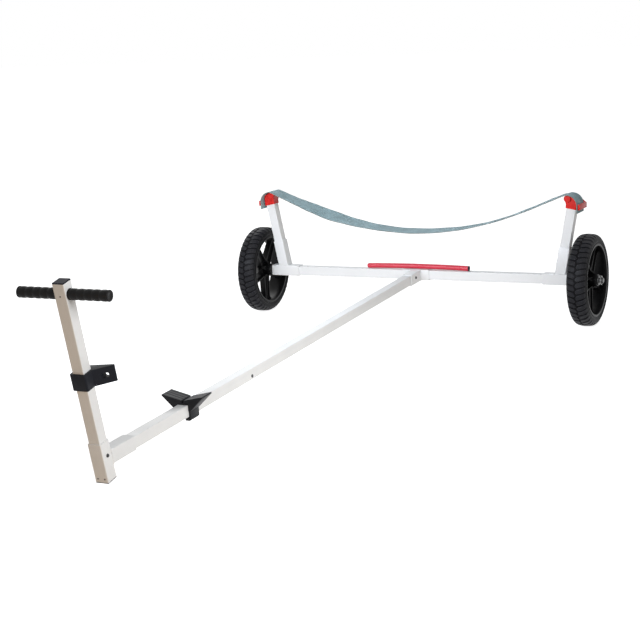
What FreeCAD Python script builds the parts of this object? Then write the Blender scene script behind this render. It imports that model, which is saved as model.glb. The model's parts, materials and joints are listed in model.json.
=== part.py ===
import FreeCAD, Part
import math
import os

# Hand-drawn launching trolley for a small boat, in millimetres.
# X is to the right seen from the handle, Y runs back from the handle to the axle, Z is up.
# The floor is Z = 0 and the origin is the middle of the footprint.

V = FreeCAD.Vector
ACROSS = V(1, 0, 0)
BACK = V(0, 1, 0)
CENTRE = V(0, 0, 0)

# Box tube, the sleeves that slide over it and the fits between pieces
tube = 40.0
tube_wall = 2.0
tube_corner = 2.5
sleeve_wall = 3.0
sleeve_fit = 0.3
sleeve_corner = 3.0
plug_fit = 0.2
seat_gap = 0.3
overcut = 1.0

# Wheels and plan of the frame
wheel_radius = 192.0
tyre_width = 82.0
half_track = 763.5
wheelbase = 2465.0
spine_start = 30.0
spine_gap = 1.0
spine_sleeve_reach = 125.0
cross_sleeve_reach = 60.0
corner_sleeve_length = 135.0
cross_tube_setback = 1.0

# Leaning bow post and its foot
post_lean = 12.66
foot_drop = 72.5
foot_thickness = 2.5
foot_edge = 0.8
post_foot_clearance = 9.0
post_sleeve_top = 58.0
front_sleeve_reach = 152.0
plug_depth = 16.0
plug_wall = 3.0
plug_floor = 2.0
plug_corner = 1.0

# Handle and grips
handle_height = 537.0
post_above_handle = 37.0
post_cap_thickness = 3.5
post_cap_edge = 1.2
handle_radius = 12.5
handle_wall = 1.5
handle_reach = 153.0
grip_radius = 17.4
grip_waist = 15.9
grip_count = 5
grip_flange = 4.0
grip_end = 4.5
grip_chamfer = 1.5
grip_fit = 0.2

# Bow snubber on the post
snubber_bottom = 238.0
snubber_height = 52.5
snubber_wall = 6.9
snubber_corner = 6.0
wing_start = 9.0
wing_reach = 77.5
wing_end = 54.0
jaw_middle = 41.5
jaw_slant = 0.236
wing_tip_radius = 2.0
lashing_hole_start = 45.0
lashing_hole_length = 18.0
lashing_hole_height = 15.0
lashing_hole_corner = 5.0

# Keel chock on the spine
chock_start = 472.0
chock_length = 62.0
chock_tip_reach = 77.0
chock_tip_height = 52.0
chock_tip_thickness = 4.5
chock_valley_height = 35.0
chock_groove_half = 3.5
chock_groove_bottom = 25.0
chock_lip_radius = 3.0
chock_wall = 6.5
chock_clip_reach = 14.5
chock_clip_thickness = 12.5
chock_clip_corner = 5.0
chock_front_relief = 2.0
chock_rear_relief = 6.0
rib_count = 4
rib_groove = 3.0
rib_depth = 1.0

# Uprights, the caps on them and the sling
upright_inset = 58.0
upright_lean = 10.6
upright_sleeve_top = 137.0
cap_bottom = 304.0
cap_height = 16.0
cap_roof = 3.0
cap_wall = 3.2
spigot_depth = 15.0
saddle_inset = 14.5
saddle_rise = 42.0
roll_radius = 15.0
roll_half = 34.0
roll_edge = 3.0
crown_radius = 42.7
crown_reach = 37.0
crown_half = 25.0
crown_edge = 3.5
sling_width = 100.0
sling_thickness = 3.0
sling_angle = 26.0
sling_tail = 22.8
finger_gap = 1.0
finger_thickness = 9.0
finger_front = 42.0
finger_low = 17.3
finger_high = 5.7
arm_start = 52.0
arm_thickness = 6.0
arm_inset = 12.0
arm_outset = 34.0
arm_low = 3.7
arm_high = 21.7

# Hull guard on the cross tube
guard_radius = 11.0
guard_wall = 2.5
guard_half = 240.0
guard_rise = 3.7
guard_gap = 0.4

# Tyre outline, from the rim out
tyre_side_start = 2.5
tyre_side_low = 8.0
tyre_side_high = 16.0
tyre_shoulder_in = 3.0
tyre_shoulder_drop = 13.0
tyre_edge_in = 10.0
tyre_edge_drop = 5.0
crown_line = 22.0
crown_drop = 1.4

# Rim and hub
rim_seat_radius = 148.0
rim_lip_radius = 152.0
rim_wall = 5.0
rim_half = 40.0
lip_width = 5.0
bead_fit = 0.3
spoke_count = 5
spoke_hub_width = 52.0
spoke_rim_width = 38.0
spoke_half_depth = 13.0
spoke_flange = 6.0
spoke_web = 5.0
hub_radius = 25.0
hub_half = 43.0

# Bushes, washers, axle stub and ring pin
axle_radius = 10.0
running_fit = 0.08
bush_radius = 14.0
bush_fit = 0.1
bush_flange_radius = 19.0
bush_flange = 2.0
bush_seat = 0.05
bush_length = 34.0
washer_thickness = 2.5
washer_fit = 0.15
inner_washer_radius = 24.0
outer_washer_radius = 20.0
spacer_radius = 15.0
spacer_length = 7.4
axle_overhang = 19.0
axle_chamfer = 1.5
block_fit = 0.05
block_corner = 0.5
pin_radius = 2.5
pin_inset = 6.0
pin_fit = 0.1
pin_end = 3.0
ring_radius = 17.0
ring_half = 1.8

# Values that follow from the ones above
sleeve = tube + 2 * (sleeve_fit + sleeve_wall)
sleeve_inside = tube + 2 * sleeve_fit
tube_inside = tube - 2 * tube_wall
post_top = handle_height + post_above_handle
cap_top = cap_bottom + cap_height
cap_width = sleeve_inside + 2 * cap_wall
snubber_half = tube / 2 + sleeve_fit + snubber_wall
hub_reach = hub_half + bush_flange
inner_washer_start = half_track - hub_reach - seat_gap - washer_thickness
outer_washer_start = half_track + hub_reach + seat_gap
axle_end = outer_washer_start + washer_thickness + axle_overhang
pin_place = outer_washer_start + washer_thickness + pin_inset
corner_sleeve_end = inner_washer_start - seat_gap - spacer_length
corner_sleeve_start = corner_sleeve_end - corner_sleeve_length
axle_root = corner_sleeve_end - upright_inset
lean = math.radians(post_lean)
tilt = math.radians(upright_lean)

# The foot's rounded edge touches the floor, so its height follows from the post's lean
foot_across = (sleeve / 2 - foot_edge) * math.sin(lean)
foot_rise = foot_across + (foot_drop - foot_edge) * math.cos(lean) + foot_edge
slope = math.atan2(wheel_radius - foot_rise, wheelbase)
spine_length = math.hypot(wheel_radius - foot_rise, wheelbase)


def placed(origin, axis, degrees):
    """A frame at a point, turned about one axis."""
    return FreeCAD.Placement(origin, FreeCAD.Rotation(axis, degrees))


# Frames of the post, the spine, the axle and the right upright
post_frame = placed(V(0, -wheelbase, foot_rise), ACROSS, post_lean)
spine_frame = placed(V(0, -wheelbase, foot_rise), ACROSS, math.degrees(slope))
axle_frame = placed(V(0, 0, wheel_radius), ACROSS, 0)
upright_root = axle_root - math.tan(tilt) * sleeve / 2
upright_stand = placed(V(upright_root, 0, 0), BACK, upright_lean)
upright_frame = axle_frame.multiply(upright_stand)


def put(shape, frame):
    moved = shape.copy()
    moved.Placement = frame.multiply(shape.Placement)
    return moved


def lifted(shape, height):
    moved = shape.copy()
    moved.translate(V(0, 0, height))
    return moved


def mirrored(shape):
    return shape.mirror(CENTRE, ACROSS)


def block(x0, x1, y0, y1, z0, z1):
    return Part.makeBox(x1 - x0, y1 - y0, z1 - z0, V(x0, y0, z0))


def rod(radius, start, end):
    return Part.makeCylinder(radius, (end - start).Length, start, end - start)


def cross_rod(radius, x0, x1):
    return rod(radius, V(x0, 0, 0), V(x1, 0, 0))


def rounded_rectangle(width, height, radius):
    """Closed outline in the XY plane, centred, with round corners."""
    x, y = width / 2, height / 2
    bulge = radius * (1 - math.sqrt(0.5))
    edges = []
    ends = []
    for cx, cy, sx, sy in ((x, y, -1, -1), (-x, y, 1, -1), (-x, -y, 1, 1), (x, -y, -1, 1)):
        on_side = V(cx, cy + sy * radius)
        on_top = V(cx + sx * radius, cy)
        middle = V(cx + sx * bulge, cy + sy * bulge)
        first, last = (on_side, on_top) if sx == sy else (on_top, on_side)
        edges.append(Part.Arc(first, middle, last).toShape())
        ends.append((first, last))
    loop = []
    for i, edge in enumerate(edges):
        loop.append(edge)
        loop.append(Part.makeLine(ends[i][1], ends[(i + 1) % 4][0]))
    return Part.Wire(loop)


def prism(width, height, radius, z0, z1):
    """Solid bar along Z with round corners."""
    face = Part.Face(rounded_rectangle(width, height, radius))
    face.translate(V(0, 0, z0))
    return face.extrude(V(0, 0, z1 - z0))


def box_tube(z0, z1):
    outer = prism(tube, tube, tube_corner, z0, z1)
    return outer.cut(prism(tube_inside, tube_inside, tube_corner - tube_wall, z0 - overcut, z1 + overcut))


def sleeve_outer(z0, z1):
    return prism(sleeve, sleeve, sleeve_corner, z0, z1)


def sleeve_bore(z0, z1):
    return prism(sleeve_inside, sleeve_inside, tube_corner, z0, z1)


def along_y(shape):
    """Turns a shape built along Z so that it lies along Y."""
    return put(shape, placed(CENTRE, ACROSS, -90))


def along_x(shape):
    """Turns a shape built along Z so that it lies along X."""
    return put(shape, placed(CENTRE, BACK, 90))


def face_of(points):
    return Part.Face(Part.makePolygon([*points, points[0]]))


def closed_face(edges):
    return Part.Face(Part.Wire(Part.__sortEdges__(edges)))


def revolved(points):
    """Solid turned about the X axis from (x, radius) corners."""
    face = face_of([V(x, 0, r) for x, r in points])
    return face.revolve(CENTRE, ACROSS, 360)


def slab(face, y0, y1):
    """A face drawn in the XZ plane, thickened from y0 to y1."""
    solid = face.extrude(V(0, y1 - y0, 0))
    solid.translate(V(0, y0, 0))
    return solid


# Front corner: the post's sleeve welded to the sleeve that takes the spine
def front_socket():
    bottom = foot_thickness - foot_drop
    post_part = put(sleeve_outer(bottom, post_sleeve_top), post_frame)
    spine_part = put(along_y(sleeve_outer(0, front_sleeve_reach)), spine_frame)
    post_bore = put(sleeve_bore(bottom - overcut, post_sleeve_top + overcut), post_frame)
    spine_bore = put(along_y(sleeve_bore(0, front_sleeve_reach + overcut)), spine_frame)
    keep = put(sleeve_outer(bottom, 2 * post_sleeve_top), post_frame)
    return post_part.fuse(spine_part).cut(post_bore).cut(spine_bore.cut(keep))


def top_edges(shape):
    level = shape.BoundBox.ZMax
    return [e for e in shape.Edges if abs(e.BoundBox.ZMin - level) < 1e-6]


def square_plug(width, thickness, edge, inner, corner, depth):
    """Push-in end plug: a flange on top and a hollow stem below it."""
    flange = prism(width, width, tube_corner, 0, thickness)
    flange = flange.makeFillet(edge, top_edges(flange))
    stem = prism(inner, inner, corner, -depth, 0)
    core = inner - 2 * plug_wall
    return flange.fuse(stem.cut(prism(core, core, plug_corner, -depth - overcut, -plug_floor)))


def post_bottom():
    return foot_thickness + post_foot_clearance + seat_gap - foot_drop


def foot_plug():
    inner = sleeve_inside - 2 * plug_fit
    stem_depth = post_bottom() + foot_drop - foot_thickness - seat_gap
    plug = square_plug(sleeve, foot_thickness, foot_edge, inner, tube_corner, stem_depth)
    plug = put(plug, placed(CENTRE, ACROSS, 180))
    return put(lifted(plug, foot_thickness - foot_drop), post_frame)


def bow_post():
    hole = lifted(cross_rod(handle_radius + seat_gap, -tube, tube), handle_height)
    return put(box_tube(post_bottom(), post_top).cut(hole), post_frame)


def post_cap():
    inner = tube_inside - 2 * plug_fit
    plug = square_plug(tube, post_cap_thickness, post_cap_edge, inner, plug_corner, plug_depth)
    return put(lifted(plug, post_top), post_frame)


def handle_bar():
    outer = cross_rod(handle_radius, -handle_reach, handle_reach)
    bore = cross_rod(handle_radius - handle_wall, -handle_reach - overcut, handle_reach + overcut)
    return put(lifted(outer.cut(bore), handle_height), post_frame)


def grip_barrel(x, pitch):
    crest = V(x + pitch / 2, 0, grip_radius)
    return Part.Arc(V(x, 0, grip_waist), crest, V(x + pitch, 0, grip_waist)).toShape()


def grip():
    """Rubber grip closed at its end: a flange, a row of barrels and an end knob."""
    start = tube / 2 + seat_gap
    end = handle_reach + grip_end
    row = start + grip_flange
    knob = end - grip_flange
    pitch = (knob - row) / grip_count
    front = [V(start, 0, 0), V(start, 0, grip_radius), V(row, 0, grip_radius), V(row, 0, grip_waist)]
    back = [
        V(knob, 0, grip_waist),
        V(knob, 0, grip_radius),
        V(end - grip_chamfer, 0, grip_radius),
        V(end, 0, grip_radius - grip_chamfer),
        V(end, 0, 0),
    ]
    edges = [Part.makeLine(a, b) for a, b in zip(front, front[1:])]
    edges += [grip_barrel(row + i * pitch, pitch) for i in range(grip_count)]
    edges += [Part.makeLine(a, b) for a, b in zip(back, back[1:])]
    edges.append(Part.makeLine(back[-1], front[0]))
    body = Part.Face(Part.Wire(edges)).revolve(CENTRE, ACROSS, 360)
    bore = cross_rod(handle_radius + grip_fit, start - overcut, handle_reach + grip_fit)
    return put(lifted(body.cut(bore), handle_height), post_frame)


# Bow snubber: a rubber collar on the post with two wings that take the stem of the boat
def snubber_outline():
    right = [
        V(0, -snubber_half),
        V(snubber_half, -snubber_half),
        V(snubber_half, wing_start),
        V(wing_reach, wing_end),
        V(wing_reach, jaw_middle + jaw_slant * wing_reach),
        V(0, jaw_middle),
    ]
    left = [V(-p.x, p.y) for p in reversed(right[1:-1])]
    return right + left


def standing_edges(shape, near):
    """Edges along Z whose foot lies near one of the given points."""
    return [e for e in shape.Edges
            if e.BoundBox.ZLength > shape.BoundBox.ZLength / 2
            and any(abs(e.CenterOfMass.x - p.x) + abs(e.CenterOfMass.y - p.y) < overcut for p in near)]


def both_sides(points):
    return points + [V(-p.x, p.y) for p in points]


def bow_snubber():
    outline = snubber_outline()
    body = face_of(outline).extrude(V(0, 0, snubber_height))
    body = body.makeFillet(snubber_corner, standing_edges(body, both_sides(outline[1:2])))
    body = body.makeFillet(wing_tip_radius, standing_edges(body, both_sides(outline[3:5])))
    body = body.cut(sleeve_bore(-overcut, snubber_height + overcut))
    for hole in (lashing_hole(), mirrored(lashing_hole())):
        body = body.cut(hole)
    return put(lifted(body, snubber_bottom), post_frame)


def lashing_hole():
    """Slot straight through the right wing, for the bow line."""
    slot = prism(lashing_hole_length, lashing_hole_height, lashing_hole_corner, 0, 2 * wing_end)
    slot = along_y(slot)
    slot.translate(V(lashing_hole_start + lashing_hole_length / 2, 0, snubber_height / 2))
    return slot


# Spine from the post back to the axle
def spine_tube():
    end = spine_length - sleeve / 2 - spine_gap
    return put(along_y(box_tube(spine_start, end)), spine_frame)


# Keel chock: two ribbed wings on a saddle that clips round the spine
def chock_slant():
    return (chock_tip_height - chock_valley_height) / (chock_tip_reach - chock_groove_half)


def chock_outline():
    """Right half of the outline, from the groove out to the tip and round to the roof over the tube."""
    inner = sleeve_inside / 2
    outer = inner + chock_wall
    bottom = -inner - chock_clip_thickness
    return [
        V(0, 0, chock_groove_bottom),
        V(chock_groove_half, 0, chock_groove_bottom),
        V(chock_groove_half, 0, chock_valley_height),
        V(chock_tip_reach, 0, chock_tip_height),
        V(chock_tip_reach, 0, chock_tip_height - chock_tip_thickness),
        V(outer, 0, 0),
        V(outer, 0, bottom + chock_clip_corner),
        V(outer - chock_clip_corner, 0, bottom),
        V(inner - chock_clip_reach, 0, bottom),
        V(inner - chock_clip_reach, 0, -inner),
        V(inner, 0, -inner),
        V(inner, 0, inner),
        V(0, 0, inner),
    ]


def chock_rib_cut(y0, y1):
    """Shallow groove across both wings, following their slant."""
    low = chock_valley_height - rib_depth
    side = chock_tip_reach + overcut
    high = low + chock_slant() * side
    face = face_of([V(-side, 0, high), V(0, 0, low), V(side, 0, high), V(side, 0, 2 * high), V(-side, 0, 2 * high)])
    return slab(face, y0, y1)


def keel_chock():
    half = slab(face_of(chock_outline()), 0, chock_length)
    lip = V(chock_groove_half, 0, chock_valley_height)
    tip = [V(chock_tip_reach, 0, chock_tip_height), V(chock_tip_reach, 0, chock_tip_height - chock_tip_thickness)]
    half = half.makeFillet(chock_lip_radius, lying_edges(half, [lip]))
    half = half.makeFillet(chock_tip_thickness / 3, lying_edges(half, tip))
    body = half.fuse(mirrored(half)).removeSplitter()
    pitch = chock_length / rib_count
    for i in range(1, rib_count):
        body = body.cut(chock_rib_cut(i * pitch - rib_groove / 2, i * pitch + rib_groove / 2))
    deep = -sleeve - chock_clip_thickness
    side = chock_tip_reach
    body = body.cut(block(-side, side, -overcut, chock_front_relief, deep, 0))
    body = body.cut(block(-side, side, chock_length - chock_rear_relief, chock_length + overcut, deep, 0))
    body.translate(V(0, chock_start, 0))
    return put(body, spine_frame)


def lying_edges(shape, near):
    """Edges along Y that pass near one of the given points."""
    return [e for e in shape.Edges
            if e.BoundBox.YLength > shape.BoundBox.YLength / 2
            and any(abs(e.CenterOfMass.x - p.x) + abs(e.CenterOfMass.z - p.z) < overcut for p in near)]


# T socket at the middle of the axle
def centre_socket():
    reach = cross_sleeve_reach
    start = spine_length - spine_sleeve_reach
    cross = put(along_x(sleeve_outer(-reach, reach)), axle_frame)
    stem = put(along_y(sleeve_outer(start, spine_length)), spine_frame)
    cross_bore = put(along_x(sleeve_bore(-reach - overcut, reach + overcut)), axle_frame)
    stem_bore = put(along_y(sleeve_bore(start - overcut, spine_length)), spine_frame)
    return cross.fuse(stem).cut(cross_bore).cut(stem_bore.cut(cross))


def cross_tube():
    end = corner_sleeve_end - cross_tube_setback
    return put(along_x(box_tube(-end, end)), axle_frame)


def corner_socket():
    """Sleeve on the end of the cross tube with the upright's sleeve welded on top."""
    base = put(along_x(sleeve_outer(corner_sleeve_start, corner_sleeve_end)), axle_frame)
    riser = put(sleeve_outer(0, upright_sleeve_top), upright_frame)
    base_bore = along_x(sleeve_bore(corner_sleeve_start - overcut, corner_sleeve_end + overcut))
    base_bore = put(base_bore, axle_frame)
    riser_bore = put(sleeve_bore(0, upright_sleeve_top + overcut), upright_frame)
    return base.fuse(riser).cut(base_bore).cut(riser_bore.cut(base))


def upright():
    """Tube cut square at its foot, so its inner corner rests on the sleeve below."""
    foot = (sleeve / 2 + tube / 2 * math.sin(tilt)) / math.cos(tilt) + seat_gap
    return put(box_tube(foot, cap_top - cap_roof - seat_gap), upright_frame)


# Sling cap: a collar on the upright, a saddle with a rolled inner edge and a finger that traps the sling's tail
def saddle_crown():
    """Highest line of the saddle, seen along the axle frame's Y axis."""
    return upright_stand.multVec(V(0, 0, cap_top)) + V(-saddle_inset, 0, saddle_rise)


def on_circle(centre, radius, degrees):
    """A point of a circle in the XZ plane, with the angle measured from straight up towards +X."""
    turn = math.radians(degrees)
    return centre + V(radius * math.sin(turn), 0, radius * math.cos(turn))


def saddle_face():
    crown = saddle_crown()
    roll = crown - V(0, 0, roll_radius)
    bulge = crown - V(0, 0, crown_radius)
    edge = math.degrees(math.asin(crown_reach / crown_radius))
    shoulder = on_circle(bulge, crown_radius, edge)
    inside = on_circle(roll, roll_radius, -90)
    outer_foot = upright_stand.multVec(V(cap_width / 2, 0, cap_top - cap_roof / 2))
    inner_foot = upright_stand.multVec(V(-cap_width / 2, 0, cap_top - cap_roof / 2))
    return closed_face([
        Part.Arc(inside, on_circle(roll, roll_radius, -45), crown).toShape(),
        Part.Arc(crown, on_circle(bulge, crown_radius, edge / 2), shoulder).toShape(),
        Part.makeLine(shoulder, outer_foot),
        Part.makeLine(outer_foot, inner_foot),
        Part.makeLine(inner_foot, inside),
    ])


def finger():
    """Bar outside the sling's tail, on an arm that reaches round behind the sling."""
    bulge = saddle_crown() - V(0, 0, crown_radius)
    x0 = bulge.x + crown_radius + seat_gap + sling_thickness + finger_gap
    x1 = x0 + finger_thickness
    low = bulge.z - finger_low
    high = bulge.z + finger_high
    neck = high - finger_thickness / 2
    arm_end = arm_start + arm_thickness
    bar = slab(closed_face([
        Part.makeLine(V(x0, 0, low), V(x1, 0, low)),
        Part.makeLine(V(x1, 0, low), V(x1, 0, neck)),
        Part.Arc(V(x1, 0, neck), V((x0 + x1) / 2, 0, high), V(x0, 0, neck)).toShape(),
        Part.makeLine(V(x0, 0, neck), V(x0, 0, low)),
    ]), -finger_front, arm_end)
    inner, outer = bulge.x + arm_inset, bulge.x + arm_outset
    under, over = bulge.z + arm_low, bulge.z + arm_high
    plate = slab(face_of([
        V(inner, 0, under),
        V(inner, 0, over),
        V(outer, 0, over),
        V(x1, 0, neck),
        V(x1, 0, low),
        V(x0, 0, low),
        V(outer, 0, under),
    ]), arm_start, arm_end)
    return bar.fuse(plate).fuse(block(inner, outer, 0, arm_end, under, over))


def end_edges(shape):
    """Edges of the front and back faces of a shape that was thickened along Y."""
    return [e for e in shape.Edges if e.BoundBox.YLength < overcut]


def sling_cap():
    collar = prism(cap_width, cap_width, sleeve_corner, cap_bottom, cap_top)
    roof = cap_top - cap_roof
    bore = prism(sleeve_inside, sleeve_inside, tube_corner, cap_bottom - overcut, roof)
    saddle = slab(saddle_face(), -crown_half, crown_half)
    saddle = saddle.makeFillet(crown_edge, end_edges(saddle))
    crown = saddle_crown()
    roll_axis = crown - V(0, 0, roll_radius)
    roll = rod(roll_radius, roll_axis - V(0, roll_half, 0), roll_axis + V(0, roll_half, 0))
    roll = roll.makeFillet(roll_edge, end_edges(roll))
    width = tube_inside - 2 * plug_fit
    spigot = prism(width, width, block_corner, roof - spigot_depth, cap_top)
    body = put(collar, upright_stand).fuse(saddle).fuse(roll).fuse(finger())
    body = body.cut(put(bore, upright_stand)).fuse(put(spigot, upright_stand))
    return put(body.removeSplitter(), axle_frame)


# Sling: one band from cap to cap, over the saddles and down inside the fingers
def sling_half_edges(offset):
    """Right half of the band's line, at a distance off the saddles."""
    crown = saddle_crown()
    roll = crown - V(0, 0, roll_radius)
    bulge = crown - V(0, 0, crown_radius)
    small = roll_radius + offset
    large = crown_radius + offset
    leave = on_circle(roll, small, -sling_angle)
    top = on_circle(roll, small, 0)
    outside = on_circle(bulge, large, 90)
    tail = outside - V(0, 0, sling_tail)
    # A parabola is a Bezier curve of three poles
    low = leave.z - leave.x * math.tan(math.radians(sling_angle)) / 2
    hang = Part.BezierCurve()
    hang.setPoles([V(0, 0, low), V(leave.x / 2, 0, low), leave])
    return [
        hang.toShape(),
        Part.Arc(leave, on_circle(roll, small, -sling_angle / 2), top).toShape(),
        Part.Arc(top, on_circle(bulge, large, 45), outside).toShape(),
        Part.makeLine(outside, tail),
    ]


def sling_strap():
    under = sling_half_edges(seat_gap)
    over = sling_half_edges(seat_gap + sling_thickness)
    hem = Part.makeLine(under[-1].Vertexes[-1].Point, over[-1].Vertexes[-1].Point)
    edges = [*under, *over, hem]
    edges += [mirrored(e) for e in edges]
    band = slab(closed_face(edges), -sling_width / 2, sling_width / 2)
    return put(band, axle_frame)


# Hull guard: a pipe laid along the cross tube, bowed up over the T socket
def hull_guard():
    bend = (guard_half ** 2 + guard_rise ** 2) / (2 * guard_rise)
    crest = tube / 2 + guard_gap + guard_radius + guard_rise
    turn = math.degrees(math.asin(guard_half / bend))
    centre = V(0, 0, crest - bend)
    start = on_circle(centre, bend, -turn)
    along = V(bend, 0, 0)
    along = FreeCAD.Rotation(BACK, -turn).multVec(along)
    pipe = []
    for radius in (guard_radius, guard_radius - guard_wall):
        disc = Part.Face(Part.Wire(Part.makeCircle(radius, start, along)))
        pipe.append(disc.revolve(centre, BACK, 2 * turn))
    return put(pipe[0].cut(pipe[1]), axle_frame)


# Wheel parts, built about X with the outside towards +X
def tyre():
    half = tyre_width / 2
    inside = rim_half - lip_width - bead_fit
    lip = rim_lip_radius + bead_fit
    right = [
        (inside, rim_seat_radius + bead_fit),
        (inside, lip),
        (half - tyre_side_start, lip),
        (half, lip + tyre_side_low),
        (half, lip + tyre_side_high),
        (half - tyre_shoulder_in, wheel_radius - tyre_shoulder_drop),
        (half - tyre_edge_in, wheel_radius - tyre_edge_drop),
        (crown_line, wheel_radius - crown_drop),
    ]
    left = [(-x, r) for x, r in reversed(right)]
    return revolved([*right, (0, wheel_radius), *left])


def wheel_rim():
    inside = rim_seat_radius - rim_wall
    well = rim_half - lip_width
    barrel = revolved([
        (-rim_half, inside),
        (rim_half, inside),
        (rim_half, rim_lip_radius),
        (well, rim_lip_radius),
        (well, rim_seat_radius),
        (-well, rim_seat_radius),
        (-well, rim_lip_radius),
        (-rim_half, rim_lip_radius),
    ])
    body = barrel.fuse(cross_rod(hub_radius, -hub_half, hub_half))
    spoke = wheel_spoke(inside + rim_wall / 2)
    for i in range(spoke_count):
        turned = spoke.copy()
        turned.rotate(CENTRE, ACROSS, 180 + i * 360 / spoke_count)
        body = body.fuse(turned)
    bore = cross_rod(bush_radius + bush_fit, -hub_half - overcut, hub_half + overcut)
    return body.cut(bore).removeSplitter()


def spoke_outline(hub_side, rim_side, reach):
    return face_of([V(0, -hub_side, 0), V(0, hub_side, 0), V(0, rim_side, reach), V(0, -rim_side, reach)])


def wheel_spoke(reach):
    """Tapered spoke with a thin web and a raised flange along both edges, pointing up."""
    hub_side, rim_side = spoke_hub_width / 2, spoke_rim_width / 2
    full = spoke_outline(hub_side, rim_side, reach).extrude(V(2 * spoke_half_depth, 0, 0))
    full.translate(V(-spoke_half_depth, 0, 0))
    inner = spoke_outline(hub_side - spoke_flange, rim_side - spoke_flange, reach + overcut)
    pocket = inner.extrude(V(spoke_half_depth, 0, 0))
    pocket.translate(V(spoke_web / 2, 0, 0))
    return full.cut(pocket).cut(mirrored(pocket))


def hub_bush():
    """Flanged plastic bush in the outer end of the hub; its twin is mirrored."""
    outside = hub_half + bush_flange
    return revolved([
        (hub_half - bush_length, axle_radius + running_fit),
        (outside, axle_radius + running_fit),
        (outside, bush_flange_radius),
        (hub_half + bush_seat, bush_flange_radius),
        (hub_half + bush_seat, bush_radius),
        (hub_half - bush_length, bush_radius),
    ])


def wheel_place(shape):
    moved = shape.copy()
    moved.translate(V(half_track, 0, wheel_radius))
    return moved


# Fixed axle stub with its spacer, two washers and a ring pin
def axle_stub():
    body = cross_rod(axle_radius, axle_root, axle_end)
    end_edges = [e for e in body.Edges if e.BoundBox.XMin > axle_end - overcut]
    body = body.makeChamfer(axle_chamfer, end_edges)
    spacer = cross_rod(spacer_radius, corner_sleeve_end + seat_gap, inner_washer_start - pin_fit)
    reach = V(0, 0, 2 * axle_radius)
    hole = rod(pin_radius + pin_fit, V(pin_place, 0, 0) - reach, V(pin_place, 0, 0) + reach)
    return put(body.fuse(spacer).cut(hole), axle_frame)


def axle_block():
    """Square block in the end of the cross tube that holds the axle stub."""
    width = tube_inside - 2 * plug_fit
    end = corner_sleeve_end
    body = along_x(prism(width, width, block_corner, axle_root, end - cross_tube_setback))
    face = along_x(prism(tube, tube, tube_corner, end - cross_tube_setback, end))
    hole = cross_rod(axle_radius + block_fit, axle_root - overcut, end + overcut)
    return put(body.fuse(face).cut(hole), axle_frame)


def washer(radius, start):
    end = start + washer_thickness
    disc = cross_rod(radius, start, end)
    hole = cross_rod(axle_radius + washer_fit, start - overcut, end + overcut)
    return put(disc.cut(hole), axle_frame)


def axle_pin():
    """Ring pin: a straight pin through the axle and a flat ring swung down over its end."""
    start = V(pin_place, 0, ring_half - ring_radius)
    pin = rod(pin_radius, start, V(pin_place, 0, ring_radius + pin_end))
    x0 = pin_place + pin_radius - ring_half / 2
    x1 = x0 + 2 * ring_half
    ring = cross_rod(ring_radius + ring_half, x0, x1)
    ring = ring.cut(cross_rod(ring_radius - ring_half, x0 - overcut, x1 + overcut))
    return put(pin.fuse(ring), axle_frame)


def build():
    pieces = {
        "front_socket": front_socket(),
        "foot_plug": foot_plug(),
        "bow_post": bow_post(),
        "post_cap": post_cap(),
        "handle_bar": handle_bar(),
        "bow_snubber": bow_snubber(),
        "spine_tube": spine_tube(),
        "keel_chock": keel_chock(),
        "centre_socket": centre_socket(),
        "cross_tube": cross_tube(),
        "hull_guard": hull_guard(),
        "sling_strap": sling_strap(),
    }
    bush = hub_bush()
    pair = {
        "grip": grip(),
        "corner_socket": corner_socket(),
        "upright": upright(),
        "sling_cap": sling_cap(),
        "axle_block": axle_block(),
        "axle_stub": axle_stub(),
        "inner_washer": washer(inner_washer_radius, inner_washer_start),
        "outer_washer": washer(outer_washer_radius, outer_washer_start),
        "axle_pin": axle_pin(),
        "tyre": wheel_place(tyre()),
        "wheel_rim": wheel_place(wheel_rim()),
        "outer_bush": wheel_place(bush),
        "inner_bush": wheel_place(mirrored(bush)),
    }
    for name, shape in pair.items():
        pieces[name + "_right"] = shape
        pieces[name + "_left"] = mirrored(shape)
    return pieces


def footprint_shift(pieces):
    """Move that brings the middle of the footprint to the origin."""
    box = Part.makeCompound(list(pieces.values())).optimalBoundingBox(False, False)
    return V(0, -(box.YMin + box.YMax) / 2, 0)


def main():
    os.makedirs("parts", exist_ok=True)
    pieces = build()
    shift = footprint_shift(pieces)
    print("axle at Y", round(shift.y, 3), "slope", round(math.degrees(slope), 4), "foot rise", round(foot_rise, 3))
    for name, shape in pieces.items():
        shape.translate(shift)
        box = shape.optimalBoundingBox(False, False)
        print(f"{name:20s} solids {len(shape.Solids)} valid {shape.isValid()} {shape.Volume / 1000:8.1f} cm3 {box}")
        shape.exportStep(f"parts/{name}.step")


main()
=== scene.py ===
# %% [markdown]
# # Boat launching trolley
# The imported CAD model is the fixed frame: every piece below is made in metres, in the same place as the
# solid that it dresses or replaces. What is already right in the CAD keeps its mesh and gets a better
# material. Tyres, rims, grips, webbing, fasteners and welds are made here.

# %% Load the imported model
import json
import math

import bmesh
import bpy
from mathutils import Matrix, Vector


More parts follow.
